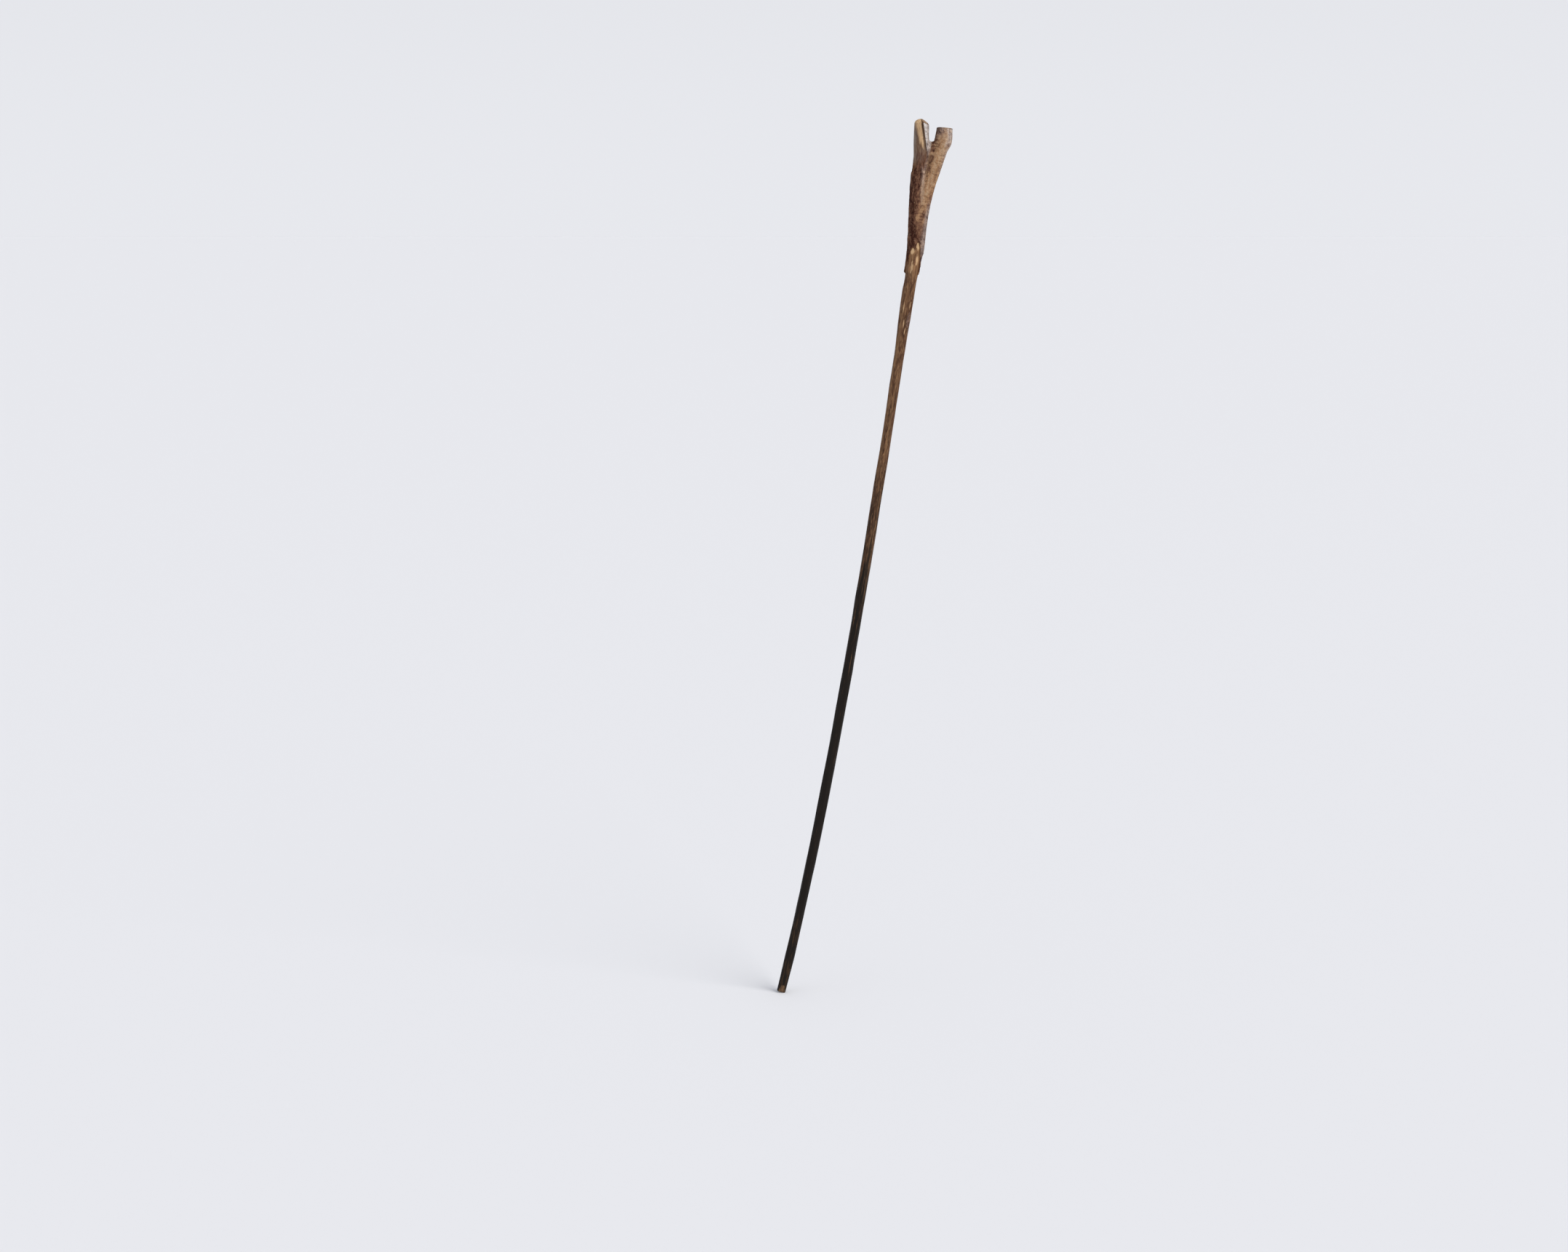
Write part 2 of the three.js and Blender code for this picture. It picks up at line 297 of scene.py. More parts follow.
def branch_skin(height, angle):
    ring = spots(2 * np.cos(angle), 2 * np.sin(angle), height)
    radius = smooth(BRANCH_PATH, height, 2) + UNDER_BARK
    return (radius + WOOD_LUMPS * noise(ring, 0.6, 0.6, 0.3),)


CROTCH = 49.6  # bottom of the notch, on the bark
BARK = 0.75  # from the wood out to the face of the bark
WEB_RISE = 1.1  # height over which the wood of the crotch rounds over
WEB_SPRING = CROTCH - BARK - WEB_RISE


def web_skin(height, angle):
    radius = smooth(WEB_PATH, height, 2)
    rise = np.maximum(height - WEB_SPRING, 0) / radius
    return (radius * np.sqrt(np.maximum(1 - rise ** 2, 0.0004)),)


GROWTH_RING = 0.33
RING_RELIEF = 0.012
PITH_RADIUS = 0.22
PITH_DEPTH = 0.12
CHECK_WIDTH = 0.07
CHECK_DEPTH = 0.14
DRYING_CHECKS = ((0.4, 1.7), (1.9, 1.1), (3.1, 1.5), (4.4, 1.2), (5.5, 0.9))  # direction, reach


def end_grain(across, back):
    """Relief of a sawn end: raised growth rings, saw marks, drying checks and the pith."""
    out = np.hypot(across, back)
    turn = np.arctan2(back, across)
    rings = RING_RELIEF * np.sin(2 * np.pi * out / GROWTH_RING)
    marks = RING_RELIEF * np.sin(across * 9 + 1.5 * np.sin(back * 2.2))
    checks = 0
    for direction, reach in DRYING_CHECKS:
        aside = out * np.abs(np.sin((turn - direction) / 2)) * 2
        length = ramp(out, 0.1, 0.4) * ramp(-out, -reach, 0.3 - reach)
        checks = checks - CHECK_DEPTH * fading(aside, CHECK_WIDTH) * length
    pith = -PITH_DEPTH * fading(out, PITH_RADIUS)
    return rings + marks + checks + pith


def limb_rows(centre, skin, heights, count, foot_rings=0, top_rings=0):
    """Rings of points square to a limb's centre line, and rings drawn in over its cut ends."""
    shares = np.concatenate([
        np.arange(1, foot_rings + 1) / (foot_rings + 1),
        np.ones(len(heights)),
        np.arange(top_rings, 0, -1) / (top_rings + 1),
    ])
    levels = np.concatenate([
        np.full(foot_rings, heights[0]), heights, np.full(top_rings, heights[-1]),
    ])
    height, angle = np.meshgrid(levels, np.arange(count) * 2 * math.pi / count, indexing="ij")
    radius = skin(height, angle)[0] * shares[:, None]
    aside = radius * np.cos(angle)
    behind = radius * np.sin(angle)
    relief = np.where(shares[:, None] < 1, end_grain(aside, behind), 0)
    relief[:foot_rings] *= -1
    return set_out(centre, levels, aside, behind, relief)


def closed_skin(rows):
    """Points and faces of a closed solid from its rings, with a fan over each end."""
    levels, count, _ = rows.shape
    index = np.arange(levels * count).reshape(levels, count)
    ahead = np.roll(index, -1, axis=1)
    quads = np.stack([index[:-1], ahead[:-1], ahead[1:], index[1:]], axis=-1).reshape(-1, 4)
    foot, top = levels * count, levels * count + 1
    fans = [(foot, b, a) for a, b in zip(index[0].tolist(), ahead[0].tolist())]
    fans += [(top, a, b) for a, b in zip(index[-1].tolist(), ahead[-1].tolist())]
    ends = [rows[0].mean(axis=0), rows[-1].mean(axis=0)]
    return np.concatenate([rows.reshape(-1, 3), ends]), quads.tolist() + fans


def placed(name, data):
    """A new object, put into the scene."""
    thing = bpy.data.objects.new(name, data)
    bpy.context.scene.collection.objects.link(thing)
    return thing


def new_piece(name, points, faces):
    mesh = bpy.data.meshes.new(name)
    mesh.from_pydata(np.asarray(points).tolist(), [], faces)
    mesh.update()
    return placed(name, mesh)


def solid(name, rows):
    return new_piece(name, *closed_skin(rows))


def join(piece, other, operation):
    """Joins another solid to a piece, or cuts it away, and removes the other solid."""
    modifier = piece.modifiers.new("join", "BOOLEAN")
    modifier.solver = "MANIFOLD"
    modifier.operation = operation
    modifier.object = other
    joined = piece.evaluated_get(bpy.context.evaluated_depsgraph_get())
    mesh = bpy.data.meshes.new_from_object(joined)
    piece.modifiers.clear()
    piece.data = mesh
    bpy.data.objects.remove(other)


def points_of(piece):
    flat = np.zeros(len(piece.data.vertices) * 3)
    piece.data.vertices.foreach_get("co", flat)
    return flat.reshape(-1, 3)


def paint(piece, **layers):
    """Stores a number or a place for each point of a piece by name, for its finish to read."""
    for name, values in layers.items():
        if np.ndim(values) == 0:
            values = np.full(len(piece.data.vertices), values)
        values = np.asarray(values, np.float32)
        kind, field = ("FLOAT_VECTOR", "vector") if values.ndim == 2 else ("FLOAT", "value")
        layer = piece.data.attributes.new(name, kind, "POINT")
        layer.data.foreach_set(field, values.ravel())


SHARP_EDGE = math.radians(42)


def settle(piece, finish, node):
    """Turns a finished piece to metres, dresses it and sets it on the stick's body."""
    piece.data.transform(Matrix.Scale(MM, 4))
    piece.data.shade_smooth()
    piece.data.set_sharp_from_angle(angle=SHARP_EDGE)
    piece.data.materials.clear()
    piece.data.materials.append(finish)
    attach(piece, "root")
    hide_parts(node)


def spread(low, high, step):
    """Even levels from low to high, about a step apart."""
    return np.linspace(low, high, max(int(round((high - low) / step)), 1) + 1)


# How many points go round each limb. The levels lie closest where there is most to show.
STEM_ROUND = 96
BRANCH_ROUND = 80
WEB_ROUND = 32
stem_levels = np.concatenate([
    -SHAFT_LENGTH + BUTT_EDGE * (1 - np.cos(np.linspace(0, math.pi / 2, 8))),
    spread(-SHAFT_LENGTH + BUTT_EDGE, -SHAFT_LENGTH + 5, 0.16)[1:],
    spread(-SHAFT_LENGTH + 5, -24, 0.5)[1:],
    spread(-24, 16, 0.28)[1:],
    spread(16, 43, 0.6)[1:],
    spread(43, LEADER_TIP - LEADER_DOME, 0.2)[1:],
    LEADER_TIP - LEADER_DOME * (1 - np.sin(np.linspace(0.08, 1.45, 18))),
])
stem_rows = limb_rows(stem_centre, stem_skin, stem_levels, STEM_ROUND, foot_rings=9)
stem = solid("Whittled_Stem", stem_rows)
branch_levels = spread(BRANCH_PATH[0, 0], BRANCH_TIP, 0.6)
branch_rows = limb_rows(branch_centre, branch_skin, branch_levels, BRANCH_ROUND, top_rings=22)
join(stem, solid("branch", branch_rows), "UNION")
web_levels = np.concatenate([
    spread(WEB_PATH[0, 0], WEB_SPRING, 0.6)[:-1],
    WEB_SPRING + WEB_RISE * np.sin(np.linspace(0, 1.5, 7)),
])
web_rows = limb_rows(web_centre, web_skin, web_levels, WEB_ROUND)
join(stem, solid("web", web_rows), "UNION")

# Drying split down the leader's top, open to the front and closing downwards and inwards
SPLIT_WIDTH = 0.34
SPLIT_DEPTH = 2.6
SPLIT_LENGTH = 10.4
SPLIT_OFFSET = 0.05
SPLIT_LEAN = math.radians(8)
SPLIT_CLEAR = 0.6  # how far its cutter stands out in front of the wood
SPLIT_STEPS = 7


def split_line(height):
    """Sideways place of the split, which leans in towards the left as it rises."""
    top = smooth(LEADER_PATH, LEADER_TIP, 1) + SPLIT_OFFSET
    return top + (LEADER_TIP - height) * math.tan(SPLIT_LEAN)


levels = spread(LEADER_TIP - SPLIT_LENGTH, LEADER_TIP + 1, 0.25)
share = np.clip((levels - levels[0]) / SPLIT_LENGTH, 0, 1)
front = -smooth(LEADER_PATH, levels, 2) - SPLIT_CLEAR
deep = front + SPLIT_CLEAR + SPLIT_DEPTH * np.minimum(1, 0.25 + 3 * share)
inward = np.linspace(0, 1, SPLIT_STEPS)
depth = front[:, None] + (deep - front)[:, None] * inward
gape = SPLIT_WIDTH * (0.3 + 0.7 * share)[:, None] * (1 - 0.85 * inward ** 1.5)
at = spots(0.0, depth, levels[:, None])
wander = split_line(levels)[:, None] + 0.07 * noise(at, 1, 1.2, 0.7)
tear = 0.03 * noise(at, 1, 3, 2.5)
right_side = spots(wander + gape / 2 + tear, depth, levels[:, None])
left_side = spots(wander - gape / 2 + tear, depth, levels[:, None])
split_rows = np.concatenate([right_side, left_side[:, ::-1]], axis=1)
join(stem, solid("split", split_rows), "DIFFERENCE")

# What the finish needs to know of each point of the wood
points = points_of(stem)
in_leader, from_leader, in_branch, from_branch = places_in(points)
on_branch = (in_branch[:, 2] > 20) & (from_branch < from_leader)
twig = np.where(on_branch[:, None], in_branch, in_leader)
turn = turn_of(in_leader)
tone, cut = stem_skin(in_leader[:, 2], turn)[1:]

# Places where the last strokes went deeper and laid fresh wood bare: height, direction in
# degrees, length and width. Rows: above the hand, below it, and round the sides and back
FRESH_MARKS = (
    (13.8, -66, 5.4, 3.4), (11.9, -110, 4.6, 3.2), (8.4, -68, 4.8, 1.7), (5.6, -104, 6.0, 1.2),
    (-8.5, -120, 5.0, 0.6), (-14.2, -100, 4.5, 0.8), (-7.5, -60, 3.5, 0.6), (-17.0, -76, 4.0, 0.5),
    (9.0, 15, 7.0, 2.2), (9.5, 104, 9.0, 2.4), (-6.0, 150, 9.0, 1.0), (-19.0, 30, 8.0, 0.9),
)


def fresh_marks(height, turn):
    """How far into the long pointed marks each point is, 1 in the middle of one."""
    total = np.zeros_like(height)
    for middle, direction, length, width in FRESH_MARKS:
        away = turn - math.radians(direction)
        aside = np.abs(np.arctan2(np.sin(away), np.cos(away))) * GRIP_RADIUS / (width / 2)
        ahead = np.abs(height - middle) / (length / 2)
        total = np.maximum(total, 1 - np.clip(aside + ahead ** 1.6, 0, 1))
    return total


fresh = fresh_marks(in_leader[:, 2], turn)
paint(stem, twig=twig, tone=tone * ~on_branch, fresh=fresh, end_cut=cut * ~on_branch)

# The split's dark lips, fainter at its foot and on the leader's rounded top
from_split = points[:, 0] - split_line(points[:, 2])
lip = ramp(from_split, -0.6, -0.15) * ramp(-points[:, 1], 0.8, 1.6) * ~on_branch
lip = lip * ramp(points[:, 2], 44, 48) * (1 - 0.7 * ramp(points[:, 2], 55.3, 56.3))
paint(stem, lip=lip)


def put(socket, value):
    """Sets a socket to a number or colour, or links another socket to it."""
    if isinstance(value, bpy.types.NodeSocket):
        socket.id_data.links.new(value, socket)
    elif isinstance(value, tuple) and len(value) == 3 and socket.type == "RGBA":
        socket.default_value = (*value, 1)
    else:
        socket.default_value = value


def node_of(kind, inputs, output, **settings):
    """One output of a new node with its settings, in the node tree of what feeds it."""
    feeds = [value for value in inputs.values() if isinstance(value, bpy.types.NodeSocket)]
    node = feeds[0].id_data.nodes.new(kind)
    for name, value in settings.items():
        setattr(node, name, value)
    for socket, value in inputs.items():
        put(node.inputs[socket], value)
    return node.outputs[output]


def told(tree, name, output="Fac"):
    """What a piece stores for each of its points under a name."""
    node = tree.nodes.new("ShaderNodeAttribute")
    node.attribute_name = name
    return node.outputs[output]


def new_finish(name, roughness, shine):
    """A new material, its node tree, its shader and the place in the straightened twig."""
    finish = bpy.data.materials.new(name)
    finish.use_nodes = True
    tree = finish.node_tree
    shader = tree.nodes["Principled BSDF"]
    shader.inputs["Roughness"].default_value = roughness
    shader.inputs["Specular IOR Level"].default_value = shine
    return finish, tree, shader, told(tree, "twig", "Vector")


def streaks(place, scale, detail=3.0, roughness=0.55, distortion=0.0):
    """Noise with so many waves a millimetre across the twig, back and along it."""
    stretched = node_of("ShaderNodeVectorMath", {0: place, 1: scale}, 0, operation="MULTIPLY")
    inputs = {"Vector": stretched, "Scale": 1.0, "Detail": detail, "Roughness": roughness}
    return node_of("ShaderNodeTexNoise", inputs | {"Distortion": distortion}, "Fac")


def between(value, low, high, at_low=0.0, at_high=1.0):
    """A value brought from one range to another, with a smooth rise and held at the ends."""
    inputs = {"Value": value, "From Min": low, "From Max": high, "To Min": at_low, "To Max": at_high}
    return node_of("ShaderNodeMapRange", inputs, "Result", interpolation_type="SMOOTHSTEP")


def maths(operation, a, b=0.0):
    """What an operation makes of two values."""
    return node_of("ShaderNodeMath", {0: a, 1: b}, 0, operation=operation)


def times(a, b):
    return maths("MULTIPLY", a, b)


def plus(a, b):
    return maths("ADD", a, b)


def strayed(value, astray, reach):
    """A value led astray by noise, by up to half the reach either way."""
    return plus(value, times(maths("SUBTRACT", astray, 0.5), reach))


def over(amount, under, colour, mode="MIX"):
    """One colour laid over another by an amount."""
    inputs = {"Factor": amount, 6: under, 7: colour}
    return node_of("ShaderNodeMix", inputs, 2, data_type="RGBA", blend_type=mode)


def layered(colour, *layers):
    """Colours laid over one another, each by up to its share as a value goes from low to high."""
    for value, low, high, share, next_colour in layers:
        colour = over(between(value, low, high, 0, share), colour, next_colour)
    return colour


def raised(shader, height, depth):
    """Relief on a surface, of so many millimetres."""
    inputs = {"Height": height, "Distance": depth * MM}
    put(shader.inputs["Normal"], node_of("ShaderNodeBump", inputs, "Normal"))


WOOD_DARK = (0.028, 0.012, 0.007)
WOOD = (0.096, 0.042, 0.022)
WOOD_BRIGHT = (0.25, 0.140, 0.070)
WOOD_SHAVED = (0.28, 0.150, 0.072)
WOOD_FRESH = (0.64, 0.43, 0.24)
WOOD_GREY = (0.21, 0.16, 0.125)
WOOD_PALE_GREY = (0.31, 0.26, 0.215)
WOOD_RED = (0.130, 0.066, 0.052)
RING_BROWN = (0.13, 0.062, 0.03)
WOOD_LIP = (0.085, 0.045, 0.030)
# The stain's colours below hold painted shade as well as the stain itself
STAIN_AND_SHADE = (0.0105, 0.0078, 0.0062)
WORN_STAIN_AND_SHADE = (0.040, 0.022, 0.0115)

# Bare wood in streaks of three sizes, lighter or darker with each knife stroke
wood, tree, shader, place = new_finish("Whittled Wood", 0.6, 0.1)
across, back, along = (
    node_of("ShaderNodeSeparateXYZ", {0: place}, axis) for axis in ("X", "Y", "Z"))
broad = streaks(place, (1.5, 1.5, 0.17), 5, 0.62, 0.4)
short = streaks(place, (2.6, 2.6, 0.55), 4, 0.6, 0.3)
fine = streaks(place, (6.5, 6.5, 0.3), 4, 0.6)
stroke = told(tree, "tone")
colour = layered(
    WOOD_DARK,
    (broad, 0.34, 0.54, 1, WOOD),
    (broad, 0.5, 0.72, 1, WOOD_BRIGHT),
    (short, 0.5, 0.64, 0.8, WOOD_BRIGHT),
    (short, 0.47, 0.33, 0.85, WOOD_DARK),
    (fine, 0.5, 0.7, 0.6, WOOD_DARK),
    (fine, 0.5, 0.3, 0.4, WOOD_BRIGHT),
    (stroke, 0, 1, 0.45, WOOD_BRIGHT),
    (stroke, 0, -1, 0.5, WOOD_DARK),
)

# Lighter wood, newly shaved, between the grip and the bark
shaved = layered(
    WOOD_BRIGHT,
    (short, 0.4, 0.6, 1, WOOD_SHAVED),
    (broad, 0.54, 0.36, 0.8, WOOD),
)
near_bark = times(between(along, 1, 6), between(along, 17, 15))
colour = over(times(near_bark, 0.85), colour, shaved)

# The leader's bare top, weathered grey brown but for a golden part that narrows downwards
bare_top = between(along, 40, 44)
weathered = layered(
    WOOD,
    (short, 0.36, 0.6, 1, WOOD_GREY),
    (along, 47.5, 44.5, 0.6, WOOD_RED),
    (across, -1.1, -1.9, 0.6, WOOD_PALE_GREY),
    (fine, 0.42, 0.68, 0.6, WOOD_DARK),
)
grey_brown = times(bare_top, between(broad, 0.35, 0.6, 0.95, 0.55))
colour = over(grey_brown, colour, weathered)
GOLDEN_SLOPE = 3.7
GOLDEN_TEAR = 10  # height over which the golden part's lower end is torn
torn = streaks(place, (1.9, 1.9, 0.16), 5, 0.62)
golden = plus(along, times(across, GOLDEN_SLOPE))
golden = between(strayed(golden, torn, GOLDEN_TEAR), 46.2, 49.6)
lower_end = between(strayed(along, torn, GOLDEN_TEAR), 45.5, 49.5)
golden = times(golden, lower_end)

# Fresh wood: the marks near the grip, the golden top and the last cuts
ragged = streaks(place, (3.0, 3.0, 0.45), 3, 0.6)
inside_mark = told(tree, "fresh")
mark = between(strayed(inside_mark, ragged, 1.6), 0.15, 0.6)
mark = times(mark, between(inside_mark, 0.0, 0.2))
mark = times(mark, between(along, -4, 2, 0.7, 1))
end_cut = told(tree, "end_cut")
at_butt = between(along, -240, -200, 1, 0)
golden = times(golden, between(end_cut, 0, 1, 1, 0.2))
last_cuts = times(end_cut, between(at_butt, 0, 1, 0.4, 0.15))
mark = maths("MAXIMUM", maths("MAXIMUM", mark, golden), last_cuts)
mark = times(mark, between(fine, 0.4, 0.7, 1, 0.5))
mark = times(mark, between(short, 0.3, 0.5, 0.55, 1))
colour = over(mark, colour, WOOD_FRESH)
colour = over(times(told(tree, "lip"), 0.8), colour, WOOD_LIP)

# Growth rings, which show where a cut crosses the grain, and the pith
RING_WAVES = 19  # turn of the rings' wave, in radians a millimetre
from_middle = node_of("ShaderNodeCombineXYZ", {0: across, 1: back}, 0)
out = node_of("ShaderNodeVectorMath", {0: from_middle}, "Value", operation="LENGTH")
wavy = times(streaks(place, (0.8, 0.8, 0.05), 2), 2.5)
rings = maths("SINE", plus(times(out, RING_WAVES), wavy))
rings = between(rings, 0.1, 0.95, 0, 0.3)
pith = between(out, 0.32, 0.16, 0, 0.8)
colour = over(maths("MAXIMUM", rings, pith), colour, RING_BROWN)

# Dark stain, rubbed in from below the hand to the butt and worn off in places, with painted
# shade laid over it that makes it nearly black. Its upper edge is blotched and dripping.
STAIN_BLOTCH = 260
STAIN_DRIP = 120
blotch = streaks(place, (1.2, 1.2, 0.05), 5, 0.68)
drips = streaks(place, (3.0, 3.0, 0.09), 4, 0.6)
stain_and_shade_edge = strayed(strayed(along, blotch, STAIN_BLOTCH), drips, STAIN_DRIP)
stained_and_shaded = between(stain_and_shade_edge, -45, -125)
stained_and_shaded = times(stained_and_shaded, between(along, -24, -44))
worn = streaks(place, (1.6, 1.6, 0.16), 5, 0.65)
near_butt = between(along, -222, -240, 0, 0.09)
worn = between(plus(worn, near_butt), 0.58, 0.74)
cut_clean = between(strayed(end_cut, ragged, 1), 0.25, 0.75)
cut_clean = times(cut_clean, between(at_butt, 0, 1, 1, 0.6))
kept = maths("SUBTRACT", 1.0, cut_clean)
stained_and_shaded = times(stained_and_shaded, kept)
colour = over(stained_and_shaded, colour, over(worn, STAIN_AND_SHADE, WORN_STAIN_AND_SHADE))
put(shader.inputs["Base Color"], colour)
put(shader.inputs["Roughness"], between(fine, 0.3, 0.7, 0.5, 0.75))
fibre = streaks(place, (11, 11, 0.4), 4, 0.6)
FIBRE_RELIEF = 0.07
raised(shader, plus(fibre, fine), FIBRE_RELIEF)
settle(stem, wood, "forked_stem")

# Bark
# The twig's own thin bark, left on from just above the hand up over both prongs. It grew on
# the wood. The knife shaved it off in tongues at its lower edge and from the left side of the
# leader's top. It is wrinkled across, ridged along, and greyer on the prongs, partly with a
# painted highlight down their right sides. Painted light makes it lighter on the right.
BARK_ROOT = -0.12  # how far the bark's inner side sinks into the wood
BARK_GONE = -0.3  # how deep the bark's face goes where the knife took it all
BARK_FOOT = 3.0  # height of its lower edge between the tongues
BARK_DOME = 2.35  # height of its rounded shoulder at the leader's top
BARE_DROP = 11.6  # from the leader's tip down to the foot of its bare side
BARE_SLOPE = math.radians(8)
BARE_FEATHER = 9.0  # height over which the bark thins out to the bare side
BARE_SIDE_FEATHER = 0.55
BARE_RAGGED = 3.2
PEEL_LOW = 38.3  # lower end of the strip of outer bark peeled off the left flank
PEEL_DEPTH = 0.5
CREASE = 0.3  # how softly the limbs of the fork run together
NOTCH = 0.9  # how softly they run into the crotch between them

# Bare tongues shaved up into the bark: direction and half width in degrees, length
TONGUES = ((-70, 29, 11.3), (-108, 36, 9.3), (2, 35, 6.6), (108, 36, 8.5), (200, 20, 5))


def limb_place(x, y, z, path):
    """Across and along a limb, and out from its wood, for points in the fork."""
    reach = 0.05
    slope = (smooth(path, z + reach, 1) - smooth(path, z - reach, 1)) / (2 * reach)
    lean = 1 / np.sqrt(1 + slope ** 2)
    across = (x - smooth(path, z, 1)) * lean
    height = z + across * slope * lean
    return across, height, np.hypot(across, y) - smooth(path, height, 2)


def shaved_edge(turn):
    """Height of the bark's lower edge in each direction round the stem."""
    edge = np.full(np.shape(turn), BARK_FOOT)
    for direction, half_width, length in TONGUES:
        away = turn - math.radians(direction)
        share = np.arctan2(np.sin(away), np.cos(away)) / math.radians(half_width)
        tongue = BARK_FOOT + length * np.sqrt(np.maximum(1 - share ** 2, 0))
        edge = np.maximum(edge, np.where(np.abs(share) < 1, tongue, 0))
    return edge


def web_out(x, y, z):
    """Out from the wood that fills the crotch."""
    across, height, _ = limb_place(x, y, z, WEB_PATH)
    rise = np.maximum(height - WEB_SPRING, 0)
    below = np.maximum(WEB_PATH[0, 0] + 1 - height, 0)
    return np.sqrt(across ** 2 + y ** 2 + rise ** 2) - smooth(WEB_PATH, height, 2) + 0.4 * below


def bark_field(x, y, z):
    """Below zero inside the bark, above zero outside it."""
    l_across, l_height, leader = limb_place(x, y, z, LEADER_PATH)
    _, b_height, branch = limb_place(x, y, z, BRANCH_PATH)
    web = web_out(x, y, z)
    spot = spots(x, y, z)

    # Where the knife took the bark off: tongues at its foot, and the leader's bare side
    jagged = 0.5 * noise(spot, 0.7, 0.7, 0.5) + 0.22 * noise(spot, 2.3, 2.3, 1.7)
    shaved = shaved_edge(np.arctan2(y, l_across)) - l_height + 0.5 + 0.9 * jagged
    edge = split_line(z) + 0.1
    low = LEADER_TIP - BARE_DROP - (edge - x) * math.tan(BARE_SLOPE)
    streaky = noise(spot, 1.6, 1.6, 0.15) + 0.5 * noise(spot, 3.0, 3.0, 0.3)
    height_in = (z - low + 1 + BARE_RAGGED * streaky) / BARE_FEATHER
    side_in = (edge - x + 0.22 * jagged + 0.1) / BARE_SIDE_FEATHER
    bared = np.minimum(height_in, side_in)
    lost = (BARK - BARK_GONE) * np.maximum(ramp(shaved, -0.7, 0.9), ramp(bared, -1.0, 0.3))
    peel = ramp(-l_across + 0.15 * jagged, 1.95, 2.4) * ramp(z + 0.8 * streaky, PEEL_LOW, PEEL_LOW + 1)
    lost = np.maximum(lost, PEEL_DEPTH * peel * (1 - 0.7 * ramp(z, 41, 43.5)))

    # The tops of the prongs
    slant_x = x - smooth(LEADER_PATH, LEADER_TIP, 1) - SLANT_START
    slant = slant_x * SLANT_FACING[0] + y * SLANT_FACING[1] + (z - LEADER_TIP) * SLANT_FACING[2]
    round_top = np.maximum(z - LEADER_TIP + BARK_DOME, 0) / BARK_DOME
    thick = smooth(LEADER_PATH, l_height, 2)
    dome = (np.hypot((leader + thick) / (thick + BARK), round_top) - 1) * BARK_DOME
    leader_top = np.maximum(dome, slant) + 0.12 * jagged + 0.05
    branch_top = b_height - BRANCH_TIP + 0.18 * jagged + 0.06

    # The limbs run together, with the wood left hollow inside them
    outer = merged(
        np.maximum(leader - BARK + lost, leader_top),
        np.maximum(branch - BARK + lost, branch_top),
        CREASE,
    )
    outer = merged(outer, web - BARK, NOTCH)
    inner = merged(merged(leader, branch, CREASE), web, CREASE)
    return np.maximum(outer, BARK_ROOT - inner)


def part(grid, corner, size):
    """A box of a grid, of a size, from one of its corners on."""
    (i, j, k), (a, b, c) = corner, corner + size
    return grid[i:a, j:b, k:c]


def skin_of_field(field, low, step):
    """Points and four-sided faces where a field on a grid passes through zero."""
    inside = field < 0
    size = np.array(field.shape) - 1
    corners = [np.array([c & 1, c >> 1 & 1, c >> 2 & 1]) for c in range(8)]
    count = sum(part(inside, corner, size).astype(np.int8) for corner in corners)
    crossed = (count > 0) & (count < 8)
    number = np.full(size, -1)
    number[crossed] = np.arange(crossed.sum())
    total = np.zeros((crossed.sum(), 3))
    hits = np.zeros(crossed.sum())
    for corner in corners:
        for axis in range(3):
            if corner[axis]:
                continue
            step_on = np.eye(3, dtype=int)[axis]
            near = part(field, corner, size)[crossed]
            far = part(field, corner + step_on, size)[crossed]
            change = (near < 0) != (far < 0)
            share = near[change] / (near[change] - far[change])
            total[change] += corner + share[:, None] * step_on
            hits[change] += 1
    points = (np.argwhere(crossed) + total / hits[:, None]) * step + low
    faces = []
    for axis in range(3):
        u, v = (axis + 1) % 3, (axis + 2) % 3
        first = [slice(1, -1)] * 3
        second = [slice(1, -1)] * 3
        first[axis], second[axis] = slice(None, -1), slice(1, None)
        near, far = inside[tuple(first)], inside[tuple(second)]
        for flips in (False, True):
            at = np.argwhere(near & ~far if not flips else ~near & far)
            at[:, u] += 1
            at[:, v] += 1
            ring = []
            for du, dv in ((1, 1), (0, 1), (0, 0), (1, 0)):
                cell = at.copy()
                cell[:, u] -= du
                cell[:, v] -= dv
                ring.append(number[tuple(cell.T)])
            faces.append(np.stack(ring[::-1] if flips else ring, axis=-1))
    return points, np.concatenate(faces)


def unpinched(field):
    """The field with its grid filled in a little where two skins would share one edge."""
    steps = np.eye(3, dtype=int)
    for _ in range(12):
        pinched = 0
        for u, v in ((steps[0], steps[1]), (steps[1], steps[2]), (steps[2], steps[0])):
            size = np.array(field.shape) - u - v
            inside = field < 0
            corners = np.stack([u * 0, u, u + v, v])
            first, second, third, fourth = (part(inside, corner, size) for corner in corners)
            crossed = (first == third) & (second == fourth) & (first != second)
            at = np.argwhere(crossed)[:, None, :] + corners
            values = field[tuple(np.moveaxis(at, -1, 0))]
            nearest = np.argmin(np.where(values < 0, np.inf, values), axis=1)
            field[tuple(at[np.arange(len(at)), nearest].T)] = -0.01
            pinched += len(at)
        if not pinched:
            break
    return field


